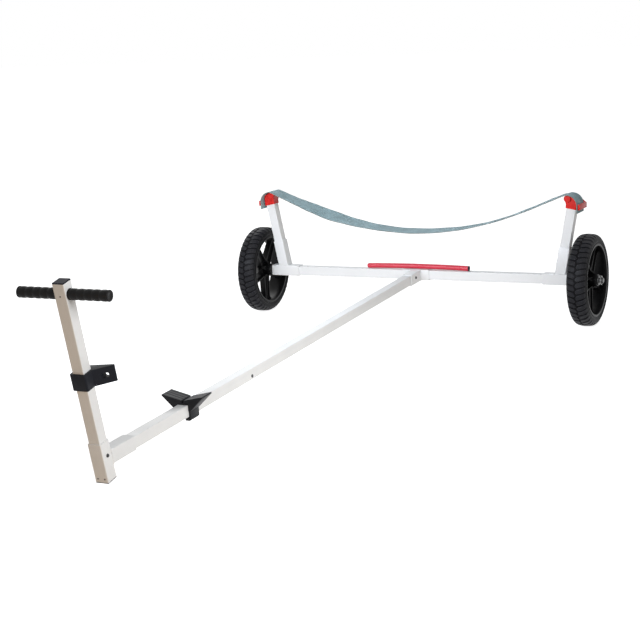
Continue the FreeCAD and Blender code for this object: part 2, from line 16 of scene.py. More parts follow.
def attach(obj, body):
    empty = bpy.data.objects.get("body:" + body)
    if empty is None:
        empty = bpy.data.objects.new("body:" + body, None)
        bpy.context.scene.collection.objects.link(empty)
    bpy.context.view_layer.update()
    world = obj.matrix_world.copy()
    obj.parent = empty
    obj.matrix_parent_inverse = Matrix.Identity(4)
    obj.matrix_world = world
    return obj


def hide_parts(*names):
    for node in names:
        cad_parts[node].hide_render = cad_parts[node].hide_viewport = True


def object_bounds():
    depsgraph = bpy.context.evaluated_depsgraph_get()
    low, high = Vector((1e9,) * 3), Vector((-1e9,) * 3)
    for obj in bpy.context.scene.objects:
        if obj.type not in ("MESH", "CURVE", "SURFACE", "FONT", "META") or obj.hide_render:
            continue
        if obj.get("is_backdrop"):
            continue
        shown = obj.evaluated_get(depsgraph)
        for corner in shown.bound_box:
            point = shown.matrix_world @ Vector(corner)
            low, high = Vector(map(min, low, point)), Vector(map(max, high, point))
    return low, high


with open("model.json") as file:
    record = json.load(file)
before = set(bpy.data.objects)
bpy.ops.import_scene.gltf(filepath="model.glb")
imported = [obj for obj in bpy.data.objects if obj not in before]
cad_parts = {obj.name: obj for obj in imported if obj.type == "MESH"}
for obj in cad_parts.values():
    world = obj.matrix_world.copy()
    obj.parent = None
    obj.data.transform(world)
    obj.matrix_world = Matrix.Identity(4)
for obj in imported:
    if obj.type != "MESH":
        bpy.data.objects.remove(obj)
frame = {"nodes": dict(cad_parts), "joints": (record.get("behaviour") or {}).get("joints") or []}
nodes = frame["nodes"]
cad_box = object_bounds()
print("pieces from the CAD:", len(nodes))

# %% [markdown]
# The wheels' joints say where the wheels are, so these places are read and not typed again. Three frames
# follow: the post's, the spine's and the right upright's. A size along the post is then written in plain
# millimetres, and the frame turns it into a place in the room.

# %% Frames of the wheels, post, spine and uprights
mm = 0.001
wheelbase, foot_rise, upright_foot = 2465, 75.688, 645.64
post_lean, spine_rise, upright_lean = 12.66, 2.7015, 10.6


def turn_about(axis, degrees):
    return Matrix.Rotation(math.radians(degrees), 4, axis)


def axis_of(held, i):
    """The way that a frame's X, Y or Z axis points, for 0, 1 or 2."""
    return held.to_3x3().col[i].normalized()


hinge = {joint["name"]: Vector(joint["pos_m"]) for joint in frame["joints"]}
hubs = {side: hinge[f"wheel_{side}_spin"] for side in ("right", "left")}
right_hub = hubs["right"]
front_foot = Matrix.Translation((0, right_hub.y - wheelbase * mm, foot_rise * mm))
post = front_foot @ turn_about("X", post_lean)
spine = front_foot @ turn_about("X", spine_rise)
axle = Matrix.Translation((0, right_hub.y, right_hub.z))
upright = axle @ Matrix.Translation((upright_foot * mm, 0, 0)) @ turn_about("Y", upright_lean)
mirror = Matrix.Scale(-1, 4, (1, 0, 0))
print("wheels stand", round(right_hub.x - hubs["left"].x, 3), "m apart")

# %% [markdown]
# The camera stands where the photographer stood, in front and to the right, and looks a little down. Its
# place, turn and lens come from a fit to about ninety points read off the photograph.

# %% Camera
def add_object(name, data):
    made = bpy.data.objects.new(name, data)
    bpy.context.scene.collection.objects.link(made)
    return made


camera_data = bpy.data.cameras.new("camera")
camera_data.sensor_width = 36
camera_data.lens = 86.946
camera = add_object("camera", camera_data)
camera.location = (2.6034, -4.92352, 1.38052)
camera.rotation_euler = [math.radians(turn) for turn in (78.3327, 2.8774, 26.1722)]
bpy.context.scene.camera = camera
print("camera stands", round(camera.location.length, 2), "m from the middle")

# %% [markdown]
# Node trees are written many times below, so small helpers take up what repeats: adding a node and
# feeding its inputs, starting a named group, and the few steps that nearly every tree needs.

# %% Helpers for node trees
def wire(tree, node, wires):
    """Feeds inputs, by name or number, with plain values, sockets or the first output of a node."""
    for key, value in wires.items():
        if isinstance(value, bpy.types.Node):
            value = value.outputs[0]
        if isinstance(value, bpy.types.NodeSocket):
            tree.links.new(value, node.inputs[key])
        else:
            node.inputs[key].default_value = value


def step(tree, kind, wires=None, **settings):
    """Adds a node with the given settings and feeds its inputs."""
    node = tree.nodes.new(kind)
    for key, value in settings.items():
        setattr(node, key, value)
    wire(tree, node, wires or {})
    return node


def start_group(name, kind, takes, gives):
    """A node group with named inputs and outputs, given with the kind of each."""
    group = bpy.data.node_groups.new(name, kind)
    for way, sockets in (("INPUT", takes), ("OUTPUT", gives)):
        for label, socket in sockets.items():
            group.interface.new_socket(label, in_out=way, socket_type=socket)
    return group, group.nodes.new("NodeGroupInput").outputs, group.nodes.new("NodeGroupOutput")


def maths(tree, operation, *values):
    return step(tree, "ShaderNodeMath", dict(enumerate(values)), operation=operation)


def ramp(tree, value, low, high):
    """0 at low, 1 at high, and even between them."""
    return step(tree, "ShaderNodeMapRange", {"Value": value, "From Min": low, "From Max": high})


def noise(tree, place, width, detail):
    """Noise with patches about as wide as the given length in metres."""
    per_width = maths(tree, "DIVIDE", 1.0, width)
    return step(tree, "ShaderNodeTexNoise", {"Vector": place, "Scale": per_width, "Detail": detail})


def blend(tree, share, first, second):
    """The colour that far on the way from the first to the second."""
    mixed = step(tree, "ShaderNodeMix", {0: share, 6: first, 7: second}, data_type="RGBA")
    return mixed.outputs[2]


def blank_tree(holder):
    """The node tree of a material or a world, switched on and emptied."""
    holder.use_nodes = True
    holder.node_tree.nodes.clear()
    return holder.node_tree


def copies_on(tree, end, finish, **wires):
    """Ends a tree: sets a shape on points, makes the copies real and paints them."""
    copies = step(tree, "GeometryNodeInstanceOnPoints", wires)
    real = step(tree, "GeometryNodeRealizeInstances", {0: copies})
    painted = step(tree, "GeometryNodeSetMaterial", {"Geometry": real, "Material": finish})
    wire(tree, end, {0: painted})


def tell(tree):
    print(tree.name, "has", len(tree.nodes), "nodes")


number, vector = "NodeSocketFloat", "NodeSocketVector"
whole, geometry, stuff = "NodeSocketInt", "NodeSocketGeometry", "NodeSocketMaterial"
print("node helpers ready")

# %% [markdown]
# Three effects are shared by the finishes. The first is fine grain, the skin that moulding or a coat of
# powder leaves. One noise gives its height for the bump, and a slower one shifts the tone, so that no
# large face is all one colour.

# %% Shared effect: grain
tone_patch = 0.12


def grain_group():
    group, takes, end = start_group("fine grain", "ShaderNodeTree",
                                    {"Size": number, "Stretch": vector},
                                    {"Height": number, "Tone": number})
    place = step(group, "ShaderNodeTexCoord").outputs["Object"]
    pulled = step(group, "ShaderNodeVectorMath", {0: place, 1: takes["Stretch"]},
                  operation="MULTIPLY")
    fine = noise(group, pulled, takes["Size"], 3.0)
    slow = noise(group, place, tone_patch, 4.0)
    both = maths(group, "MULTIPLY_ADD", fine, 0.35, slow)
    wire(group, end, {"Height": fine, "Tone": ramp(group, both, 0.45, 0.9)})
    return group


grain = grain_group()
tell(grain)

# %% [markdown]
# Corners are where use shows first. No picture says where they are, so they are measured: the Bevel node
# rounds the normal, and where that leaves the true normal far enough there is an edge. Noise breaks the
# line up, because nothing wears evenly. On the tyre's tread the same mask also carries a painted
# highlight on the block edges.

# %% Shared effect: edge wear and painted highlight
chip_patch = 0.02


def wear_group():
    group, takes, end = start_group("edge wear and painted highlight", "ShaderNodeTree",
                                    {"Width": number, "Amount": number}, {"Mask": number})
    rounded = step(group, "ShaderNodeBevel", {"Radius": takes["Width"]}, samples=4)
    true = step(group, "ShaderNodeNewGeometry").outputs["Normal"]
    same = step(group, "ShaderNodeVectorMath", {0: rounded, 1: true}, operation="DOT_PRODUCT")
    edge = ramp(group, same.outputs["Value"], 0.995, 0.8)
    place = step(group, "ShaderNodeTexCoord").outputs["Object"]
    chips = ramp(group, noise(group, place, chip_patch, 5.0), 0.42, 0.62)
    # On the tread this edge mask carries a painted highlight as well as wear.
    worn_and_lit = maths(group, "MULTIPLY", edge, chips)
    wire(group, end, {"Mask": maths(group, "MULTIPLY", worn_and_lit, takes["Amount"])})
    return group


wear = wear_group()
tell(wear)

# %% [markdown]
# Dust settles on what faces up, in clouds and not as an even film. The mask is the upward part of the
# normal times a soft noise.

# %% Shared effect: settled dust
cloud_patch = 0.05


def dust_group():
    group, takes, end = start_group("settled dust", "ShaderNodeTree",
                                    {"Amount": number}, {"Mask": number})
    true = step(group, "ShaderNodeNewGeometry").outputs["Normal"]
    up = step(group, "ShaderNodeSeparateXYZ", {0: true}).outputs["Z"]
    place = step(group, "ShaderNodeTexCoord").outputs["Object"]
    cloud = ramp(group, noise(group, place, cloud_patch, 8.0), 0.35, 0.75)
    both = maths(group, "MULTIPLY", ramp(group, up, -0.2, 1.0), cloud)
    wire(group, end, {"Mask": maths(group, "MULTIPLY", both, takes["Amount"])})
    return group


dust = dust_group()
tell(dust)

# %% [markdown]
# A finish is one Principled shader fed by those groups. The colour moves between two close tones, then
# towards an edge colour and a pale one under dust. The edge colour is wear, and on the tyre's tread it is
# also a painted highlight.

# %% A finish from the shared effects
wear_amount, rough_spread, coat_rough = 0.6, 0.1, 0.12
dust_colour = (0.42, 0.40, 0.37, 1.0)


def shade(rgb, share=1):
    return (*[channel * share for channel in rgb], 1.0)


def finish(name, rgb, rough, metal=0.0, gloss=0.5, coat=0.0, size=0.0009, stretch=(1, 1, 1),
           relief=0.00004, depth=0.7, worn_and_lit=None, wear_width=0.0012, dusty=0.02):
    material = bpy.data.materials.new(name)
    tree = blank_tree(material)
    skin = step(tree, "ShaderNodeGroup", {"Size": size, "Stretch": stretch}, node_tree=grain)
    tone = skin.outputs["Tone"]
    amount = wear_amount if worn_and_lit else 0.0
    rub = step(tree, "ShaderNodeGroup", {"Width": wear_width, "Amount": amount}, node_tree=wear)
    film = step(tree, "ShaderNodeGroup", {"Amount": dusty}, node_tree=dust)
    body = blend(tree, tone, shade(rgb, depth), shade(rgb))
    # The edge colour is wear, and on the tyre's tread it is also a painted highlight.
    rubbed_and_lit = blend(tree, rub, body, shade(worn_and_lit or rgb))
    dull = maths(tree, "MULTIPLY_ADD", tone, -rough_spread, rough + rough_spread / 2)
    bump = step(tree, "ShaderNodeBump", {"Distance": relief, "Height": skin.outputs["Height"]})
    shader = step(tree, "ShaderNodeBsdfPrincipled", {
        "Base Color": blend(tree, film, rubbed_and_lit, dust_colour), "Roughness": dull, "Normal": bump,
        "Metallic": metal, "Specular IOR Level": gloss, "Coat Weight": coat,
        "Coat Roughness": coat_rough})
    step(tree, "ShaderNodeOutputMaterial", {"Surface": shader})
    return material


print("finish() builds on", grain.name, wear.name, "and", dust.name)

# %% [markdown]
# The tubes and their welded sleeves are aluminium with a white powder coat: a faint orange peel, and a
# greyer metal where a corner is rubbed through. Rubber and the plastics differ mostly in gloss and grain.

# %% Finishes of this trolley
white_coat = finish("white powder coat", (0.80, 0.81, 0.815), 0.38, coat=0.15, size=0.0022,
                    relief=0.00003, depth=0.95, worn_and_lit=(0.55, 0.56, 0.57), dusty=0.06)
snubber_rubber = finish("bow snubber rubber", (0.009, 0.0101, 0.015), 0.45, gloss=0.12, size=0.0012,
                        relief=0.00008, depth=0.75, worn_and_lit=(0.04, 0.04, 0.045))
chock_rubber = finish("keel chock rubber", (0.012, 0.013, 0.0165), 0.48, gloss=0.12, size=0.0012,
                      relief=0.00008, depth=0.8, worn_and_lit=(0.08, 0.08, 0.085), dusty=0.03)
grip_rubber = finish("grip rubber", (0.006, 0.006, 0.0065), 0.42, gloss=0.13, relief=0.0001,
                     worn_and_lit=(0.03, 0.03, 0.03), dusty=0.015)
black_plastic = finish("black moulded plastic", (0.004, 0.004, 0.0046), 0.34, gloss=0.12,
                       size=0.0008, worn_and_lit=(0.03, 0.03, 0.033), dusty=0.01)
end_plastic = finish("tube end plastic", (0.007, 0.008, 0.017), 0.5, gloss=0.08, size=0.0008,
                     depth=0.8, worn_and_lit=(0.06, 0.06, 0.08), dusty=0.015)
# Darker rubber for the carcass, its groove floors and side wall: painted shade for the grooves between
# the tread blocks.
carcass_rubber_painted_shade = finish("tyre rubber with painted groove shade", (0.0032, 0.0033, 0.0046), 0.52, gloss=0.10, size=0.0015,
                     relief=0.00015, depth=0.65, worn_and_lit=(0.02, 0.02, 0.022), wear_width=0.002,
                     dusty=0.012)
# Tread rubber: its pale block edges are partly wear and partly a painted highlight where light catches
# them.
tread_rubber_with_highlight = finish("tread rubber with painted edge highlight", (0.0108, 0.0112, 0.0145), 0.48, gloss=0.16, size=0.0015,
                      relief=0.00015, worn_and_lit=(0.12, 0.12, 0.13), wear_width=0.0022, dusty=0.03)
red_plastic = finish("red moulded plastic", (0.74, 0.024, 0.020), 0.36, gloss=0.2, size=0.001,
                     depth=0.8, worn_and_lit=(0.80, 0.14, 0.12), dusty=0.015)
red_pipe = finish("red plastic pipe", (0.66, 0.034, 0.066), 0.24, gloss=0.35, coat=0.2, size=0.004,
                  relief=0.00003, depth=0.88, dusty=0.015)
bare_tube = finish("bare aluminium", (0.62, 0.63, 0.64), 0.35, metal=1.0, size=0.0006,
                   stretch=(0.04, 1, 1), relief=0.00002, depth=0.85, dusty=0.03)
bright_steel = finish("bright zinc plate", (0.30, 0.30, 0.295), 0.32, metal=1.0, relief=0.00002,
                      depth=0.75)
dull_steel = finish("dull steel", (0.17, 0.17, 0.17), 0.38, metal=1.0, relief=0.00002,
                    worn_and_lit=(0.6, 0.6, 0.6), wear_width=0.0006)
dark_steel = finish("dark bolt steel", (0.05, 0.052, 0.056), 0.42, metal=0.6, size=0.0007,
                    relief=0.00003, worn_and_lit=(0.3, 0.3, 0.3), wear_width=0.0005)
bush_plastic = finish("bush nylon", (0.05, 0.05, 0.05), 0.45, gloss=0.2, size=0.001,
                      relief=0.00005, depth=0.85, dusty=0.03)
print("finishes:", len(bpy.data.materials))

# %% [markdown]
# A CAD piece whose shape is right keeps it: its material slots just get the new finish. One table says
# which piece gets which, and a star stands for its right and left one.

# %% Dress the CAD pieces
finish_of = {
    white_coat: "front_socket bow_post spine_tube centre_socket cross_tube corner_socket_* "
                "upright_*",
    snubber_rubber: "bow_snubber",
    chock_rubber: "keel_chock",
    grip_rubber: "grip_*",
    black_plastic: "wheel_rim_*",
    carcass_rubber_painted_shade: "tyre_*",
    red_plastic: "sling_cap_*",
    red_pipe: "hull_guard",
    bare_tube: "handle_bar axle_block_*",
    bright_steel: "axle_pin_*",
    dull_steel: "axle_stub_* inner_washer_* outer_washer_*",
    bush_plastic: "outer_bush_* inner_bush_*",
    end_plastic: "foot_plug post_cap sling_strap",
}


def both_sides(name):
    """The name, or the right and the left name for one that ends in a star."""
    return [name[:-1] + side for side in hubs] if name.endswith("*") else [name]


for material, names in finish_of.items():
    for name in [full for short in names.split() for full in both_sides(short)]:
        mesh = nodes[name].data
        mesh.materials.clear()
        mesh.materials.append(material)
print("dressed:", sum(1 for node in nodes.values() if node.data.materials))

# %% [markdown]
# The floor is a plain pale sheet. The camera and glossy surfaces see it and the world as white, and a
# shadow still darkens it, because only part of its brightness is its own. All other rays see a duller
# floor and a dim world, so that a colour renders about as it is written.

# %% Floor and world
def seen_directly(tree):
    """1 for rays from the camera, a mirror or glass, so that what they see is the white room."""
    path = step(tree, "ShaderNodeLightPath").outputs
    mirrored = maths(tree, "MAXIMUM", path["Is Camera Ray"], path["Is Glossy Ray"])
    return maths(tree, "MAXIMUM", mirrored, path["Is Transmission Ray"])


floor_finish = bpy.data.materials.new("pale floor")
tree = blank_tree(floor_finish)
plain = step(tree, "ShaderNodeBsdfDiffuse", {"Color": (0.66, 0.56, 0.45, 1)})
pale = step(tree, "ShaderNodeBsdfDiffuse", {"Color": (0.80, 0.80, 0.80, 1)})
bright = step(tree, "ShaderNodeEmission", {"Color": (1, 1, 1, 1), "Strength": 0.86})
lifted = step(tree, "ShaderNodeAddShader", {0: pale, 1: bright})
both = step(tree, "ShaderNodeMixShader", {0: seen_directly(tree), 1: plain, 2: lifted})
step(tree, "ShaderNodeOutputMaterial", {"Surface": both})
floor_mesh = bpy.data.meshes.new("floor")
floor_mesh.from_pydata([(-30, -30, 0), (30, -30, 0), (30, 30, 0), (-30, 30, 0)], [], [(0, 1, 2, 3)])
floor_mesh.materials.append(floor_finish)
floor = add_object("floor", floor_mesh)
floor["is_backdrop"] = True

world = bpy.data.worlds.new("white room")
bpy.context.scene.world = world
tree = blank_tree(world)
fill = step(tree, "ShaderNodeBackground", {"Color": (0.97, 0.985, 1.0, 1), "Strength": 0.24})
white = step(tree, "ShaderNodeBackground", {"Color": (1, 1, 1, 1), "Strength": 1.0})
both = step(tree, "ShaderNodeMixShader", {0: seen_directly(tree), 1: fill, 2: white})
step(tree, "ShaderNodeOutputWorld", {"Surface": both})
bpy.context.scene.view_settings.view_transform = "Standard"
print("floor and world set")

# %% [markdown]
# Four soft lamps stand where a studio's boxes would. The main one, right of the camera, has a narrow
# beam for the post and the spine. A wide one hangs behind the post and lights the axle. A small warm one,
# low in front, tints the post's face, and one at the back left draws the top edges. Their powers come
# from renders with one lamp at a time.

# %% Soft lamps
def soft_lamp(name, place, target, size, power, spread=180, tint=(1, 1, 1)):
    data = bpy.data.lights.new(name, "AREA")
    data.shape = "RECTANGLE"
    data.size, data.size_y = size
    data.energy = power
    data.spread = math.radians(spread)
    data.color = tint
    lamp = add_object(name, data)
    lamp.location = place
    lamp.visible_camera = False
    lamp.rotation_euler = (Vector(target) - Vector(place)).to_track_quat("-Z", "Y").to_euler()


soft_lamp("main lamp", (3.6, -1.7, 1.6), (-0.2, -0.7, 0.3), (1.6, 1.6), 16.0, spread=64)
soft_lamp("axle lamp", (-0.2, -1.05, 1.1), (0.0, 1.2, 0.3), (2.6, 0.9), 15.5, spread=90,
          tint=(0.90, 0.96, 1.05))
soft_lamp("warm lamp", (0.1, -3.0, 0.4), (0.0, -1.3, 0.3), (0.8, 0.8), 1.05, spread=80,
          tint=(1.0, 0.58, 0.22))
soft_lamp("back lamp", (-2.6, 3.4, 2.8), (0.0, 0.6, 0.2), (2.5, 2.5), 38)
print("lamps:", len(bpy.data.lights))

# %% [markdown]
# Two ways of making a shape come back below. One is turned, as on a lathe, from an outline of places
# along the axle and radii: a carcass, a rim, a grip. The other is drawn out through a row of sections: a
# tread block, a spoke. Doubles are merged at the end, which closes a radius of almost nothing to a point.

# %% Helpers for meshes
pole = 0.0001


def to_mesh(bm, name):
    mesh = bpy.data.meshes.new(name)
    bm.to_mesh(mesh)
    bm.free()
    return mesh


def bmesh_of(*meshes):
    bm = bmesh.new()
    for mesh in meshes:
        bm.from_mesh(mesh)
    return bm


def bridge(bm, rows, closed=True):
    """Faces between each row of corners and the next."""
    for a, b in zip(rows, rows[1:]):
        for j in range(len(a) if closed else len(a) - 1):
            k = (j + 1) % len(a)
            bm.faces.new((a[j], a[k], b[k], b[j]))


def drawn(name, sections):
    """A shell through the sections, each a closed row of points, with both ends covered."""
    bm = bmesh.new()
    rows = [[bm.verts.new(point) for point in section] for section in sections]
    bridge(bm, rows)
    bm.faces.new(rows[0][::-1])
    bm.faces.new(rows[-1])
    bmesh.ops.recalc_face_normals(bm, faces=bm.faces)
    return to_mesh(bm, name)


def turned(outline, place, segments, closed=True, onto=None):
    """A ring whose outline is (along, radius) in millimetres, turned about place's X axis."""
    bm, rings = onto or bmesh.new(), []
    for i in range(segments):
        turn = 2 * math.pi * i / segments
        sine, cosine = math.sin(turn), math.cos(turn)
        rings.append([bm.verts.new(place @ Vector((x * mm, r * mm * sine, r * mm * cosine)))
                      for x, r in outline])
    bridge(bm, rings + rings[:1], closed)
    return bm


def piece(name, bm, material, body, crease=35, recalc=True):
    """Closes a mesh, gives it its finish and puts it on its body."""
    bmesh.ops.remove_doubles(bm, verts=bm.verts, dist=1e-6)
    bmesh.ops.dissolve_degenerate(bm, edges=bm.edges, dist=1e-7)
    if recalc:
        bmesh.ops.recalc_face_normals(bm, faces=bm.faces)
    for face in bm.faces:
        face.smooth = True
    for edge in bm.edges:
        edge.smooth = not (edge.is_manifold and edge.calc_face_angle(0) > math.radians(crease))
    mesh = to_mesh(bm, name)
    mesh.materials.append(material)
    made = add_object(name, mesh)
    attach(made, body)
    print(name, "has", len(mesh.polygons), "faces")
    return made


def evaluated_mesh(thing):
    """The mesh that an object's modifiers give; the object is removed."""
    graph = bpy.context.evaluated_depsgraph_get()
    mesh = bpy.data.meshes.new_from_object(thing.evaluated_get(graph))
    thing.modifiers.clear()
    bpy.data.objects.remove(thing)
    return mesh


def run_nodes(tree, start_mesh, **inputs):
    """Runs a Geometry Nodes tree on a mesh, with its inputs by name, and returns a plain mesh."""
    thing = add_object("blank", start_mesh)
    modifier = thing.modifiers.new(tree.name, "NODES")
    modifier.node_group = tree
    for item in tree.interface.items_tree:
        if item.name.lower() in inputs:
            modifier[item.identifier] = inputs[item.name.lower()]
    return evaluated_mesh(thing)


print("mesh helpers ready")

# %% [markdown]
# ## Tyres
# A tyre's outside is one smooth line from the middle of the tread to the bead. It is typed as seven
# corners and rounded by cutting them. Everything on the tyre is then placed by how far along that line
# it is and how deep below it.

# %% Outline of the tyre
wheel_radius = 192
tread_corners = [(0, wheel_radius), (22, 190.6), (31, 187), (38, 179), (41, 168.3), (41, 160.3),
                 (38.6, 153)]


def cut_corners(points):
    """Rounds a line by cutting its corners twice, keeping its two ends."""
    for _ in range(2):
        cut = [tuple((1 - share) * p + share * q for p, q in zip(a, b))
               for a, b in zip(points, points[1:]) for share in (0.25, 0.75)]
        points = [points[0], *cut, points[-1]]
    return points


smooth_outline = cut_corners(tread_corners)
reach = [0.0]
for a, b in zip(smooth_outline, smooth_outline[1:]):
    reach.append(reach[-1] + math.dist(a, b))


def stretch_at(rising, x):
    """Which stretch of a row of rising numbers x lies in, and how far along that stretch."""
    i = max(k for k in range(len(rising) - 1) if rising[k] <= x)
    return i, (x - rising[i]) / (rising[i + 1] - rising[i])


def on_outline(s, depth):
    """Place on the tyre's outside, s millimetres from its middle, and as deep below it."""
    i, share = stretch_at(reach, s)
    a, b = smooth_outline[i], smooth_outline[i + 1]
    length = math.dist(a, b)
    out = ((a[1] - b[1]) / length, (b[0] - a[0]) / length)
    return (a[0] + share * (b[0] - a[0]) - out[0] * depth,
            a[1] + share * (b[1] - a[1]) - out[1] * depth)


print("outline runs", round(reach[-1], 1), "mm from the middle to the bead")

# %% [markdown]
# The tread is two rows of blocks. A narrow zigzag groove runs round the middle, and slanted cuts part
# the blocks, half a step apart in the two rows. Cutting grooves into a ring would leave a rough mesh, so
# one block of each row is drawn out from the groove over the shoulder and copied round later.

# %% One tread block of each row
block_count = 46
pitch = 2 * math.pi * wheel_radius / block_count
tread_depth, shoulder, shoulder_end = 4.6, 31, 47.0
groove_half, cut_half, middle, slant = 2.2, 3.9, 22.0, 0.26
foot_depth, foot_flare, chamfer_depth, chamfer = 0.8, 0.5, 1.1, 1.5


def depth_at(s):
    """The grooves' depth, which fades past the shoulder."""
    return tread_depth * (1.0 if s < shoulder else max(0.2, 1 - (s - shoulder) / 18))


def block_sections(side):
    half = pitch / 2 - cut_half
    for s in (groove_half, 7.0, 12.0, 17.0, middle, 26.5, 31.0, 35.0, 39.0, 43.0, shoulder_end):
        nose = min(1.0, 0.30 + (s - groove_half) / 7.0)
        shift = slant * (s - middle)
        low, high, foot = shift - half * nose, shift + half * nose, depth_at(s) + foot_depth
        row = []
        for t, depth in ((low - foot_flare, foot), (low, chamfer_depth), (low + chamfer, 0.0),
                         ((low + high) / 2, 0.0), (high - chamfer, 0.0), (high, chamfer_depth),
                         (high + foot_flare, foot)):
            x, r = on_outline(s, depth)
            turn = t / wheel_radius
            row.append((side * x * mm, r * mm * math.sin(turn), r * mm * math.cos(turn)))
        yield row


print("step of the tread", round(pitch, 1), "mm")

# %% [markdown]
# Blocks and spokes both stand evenly round an axle. One Geometry Nodes tree sets them: it makes a point
# for each copy at the centre and turns the shape there by its share of a full turn.

# %% Geometry Nodes: copies round an axle
def ring_tree():
    tree, takes, end = start_group(
        "copies round an axle", "GeometryNodeTree",
        {"Shape": geometry, "Copies": whole, "Centre": vector, "Start": number, "Finish": stuff},
        {"Ring": geometry})
    points = step(tree, "GeometryNodePoints",
                  {"Count": takes["Copies"], "Position": takes["Centre"]})
    share = maths(tree, "ADD", step(tree, "GeometryNodeInputIndex"), takes["Start"])
    part = maths(tree, "DIVIDE", share, takes["Copies"])
    about_x = step(tree, "ShaderNodeCombineXYZ", {"X": maths(tree, "MULTIPLY", part, 2 * math.pi)})
    copies_on(tree, end, takes["Finish"], Points=points, Instance=takes["Shape"], Rotation=about_x)
    return tree


copies_round = ring_tree()
tell(copies_round)

# %% [markdown]
# A tyre is two pieces on the wheel's body: the smooth carcass, turned, with two thin rings moulded on its
# side wall, and the tread of 46 blocks in each row. They have one rubber each. The carcass's is darker,
# painted shade for the grooves between the blocks, which darkens its side wall too. The tread's pale
# block edges are partly wear and partly painted highlight.

# %% Tyres
def both_ways(half):
    """A ring's outline from its half, mirrored across the wheel's middle."""
    return half + [(-x, r) for x, r in reversed(half)]


def carcass_outline():
    under = [on_outline(s, depth_at(s)) for s in (0, 8, 16, 24, 31, 35, 39, 43)]
    ring, last = 0.9, min(62, reach[-1] - 1)
    wall = [on_outline(s, depth) for s, depth in (
        (shoulder_end, 0), (50, 0), (52, 0), (53, ring), (56, ring), (57, 0), (58.5, 0),
        (59.5, ring), (last, ring))]
    return both_ways(under + wall + [(38.0, 152.6), (34.8, 152.6), (34.8, 148.6)])[:-1]


def tyre(name, hub, body):
    carcass = turned(carcass_outline(), Matrix.Translation(hub), 144)
    # The carcass gets the darker rubber, which is painted shade for the grooves; the tread keeps the
    # lighter rubber.
    made = piece(f"carcass_{name}", carcass, carcass_rubber_painted_shade, body)
    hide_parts(name)
    rows = [run_nodes(copies_round, drawn("tread block", block_sections(side)), copies=block_count,
                      centre=hub, start=start, finish=tread_rubber_with_highlight)
            for side, start in ((1, 0.0), (-1, 0.5))]
    piece(f"tread_{name}", bmesh_of(*rows), tread_rubber_with_highlight, body, recalc=False)


for side, hub in hubs.items():
    tyre(f"tyre_{side}", hub, f"wheel_{side}")

# %% [markdown]
# ## Wheel rims
# A rim is one moulding: a barrel with a lip at each edge, a hub, and five spokes with a thin web between
# two flanges. The CAD has the same shapes with sharp corners. Here each spoke is drawn out through a row
# of sections that flare where it meets the hub and the barrel, as a moulder's radius does.

# %% Spoke, drawn through sections
flange, round_off = 6.0, 1.3
hub_flare_end, rim_flare_start = 40, 126


def spoke_section(w, d, web):
    """Outline of the section, w and d its half width and depth: two flanges joined by a web."""
    c, f = round_off, flange
    corner = [(d - c, w), (d, w - c), (d, w - f + c), (d - c, w - f), (web + 2 * c, w - f),
              (web, w - f - 2 * c)]
    front = corner + [(x, -y) for x, y in reversed(corner)]
    return front + [(-x, -y) for x, y in front]


def spoke_sections():
    """Sections of a spoke that points up from the wheel's centre."""
    for z in (20, 27, 31, 35, 40, 50, 70, 90, 110, 122, 129, 134, 138, 141, 143.5, 145):
        near_hub = max(0.0, (hub_flare_end - z) / 20) ** 2
        near_rim = max(0.0, (z - rim_flare_start) / 19) ** 2
        width = 26 - 7 * z / 145.5 + 9 * near_rim
        depth = 13 + 14 * near_hub + 8 * near_rim
        web = 2.5 + 7 * near_hub + 9 * near_rim
        yield [(x * mm, y * mm, z * mm) for x, y in spoke_section(width, depth, web)]


print("a spoke has", len(spoke_section(20, 13, 2.5)), "points round it")

# %% [markdown]
# Barrel and hub are turned with rounded edges, from half outlines. The tree above sets the five spokes
# round the hub, half a step on, so that one of them points straight down.

# %% Rims
barrel = [(15, 143), (38.6, 143), (39.6, 143.4), (40, 144.4), (40, 151), (39.5, 151.8), (38.6, 152),
          (36.6, 152), (35.6, 151.6), (35.2, 150.8), (35, 149), (34.2, 148.1), (32.5, 148)]
hub_ring = [(42.4, 14.1), (43, 14.8), (43, 23.4), (42.5, 24.5), (41.4, 25), (30, 25.3), (12, 26.2)]


def rim(name, hub, body):
    bm = turned(both_ways(barrel), Matrix.Translation(hub), 120)
    turned(both_ways(hub_ring), Matrix.Translation(hub), 64, onto=bm)
    bmesh.ops.recalc_face_normals(bm, faces=bm.faces)
    bm.from_mesh(run_nodes(copies_round, drawn("spoke", spoke_sections()), copies=5, centre=hub,
                           start=0.5, finish=black_plastic))
    made = piece(f"moulded_{name}", bm, black_plastic, body, recalc=False)
    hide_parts(name)


for side, hub in hubs.items():
    rim(f"wheel_rim_{side}", hub, f"wheel_{side}")

# %% [markdown]
# An air-filled tyre has a valve. Its rubber stem comes through the barrel between two spokes and points
# at the hub, with a narrow neck under its cap. It is a turned shape stood on the barrel's inside.

# %% Tyre valves
stem = [(0, pole), (0, 5.2), (2.5, 5.4), (4, 4.6), (6, 3.9), (13, 3.7), (14, 3.2), (14.2, 2.6),
        (18, 2.6), (18.2, 3.9), (19, 4.1), (26, 4.0), (27.5, 3.2), (27.8, pole)]
valve_turn, barrel_inside = 72, 143.4


def valve(name, hub, body):
    foot = turn_about("X", valve_turn) @ Matrix.Translation((0, 0, barrel_inside * mm))
    bm = turned(stem, Matrix.Translation(hub) @ foot @ turn_about("Y", 90), 20, closed=False)
    piece(name, bm, grip_rubber, body)


for side, hub in hubs.items():
    valve(f"valve_{side}", hub, f"wheel_{side}")

# %% [markdown]
# ## Webbing sling
# The sling is one band, 100 mm wide. Between the two caps it hangs in a parabola, then it bends over the
# rolled edge and the crown of the cap and ends in a short tail inside the red finger. It is a flat strap,
# so it is modelled directly: first the line that its middle follows.

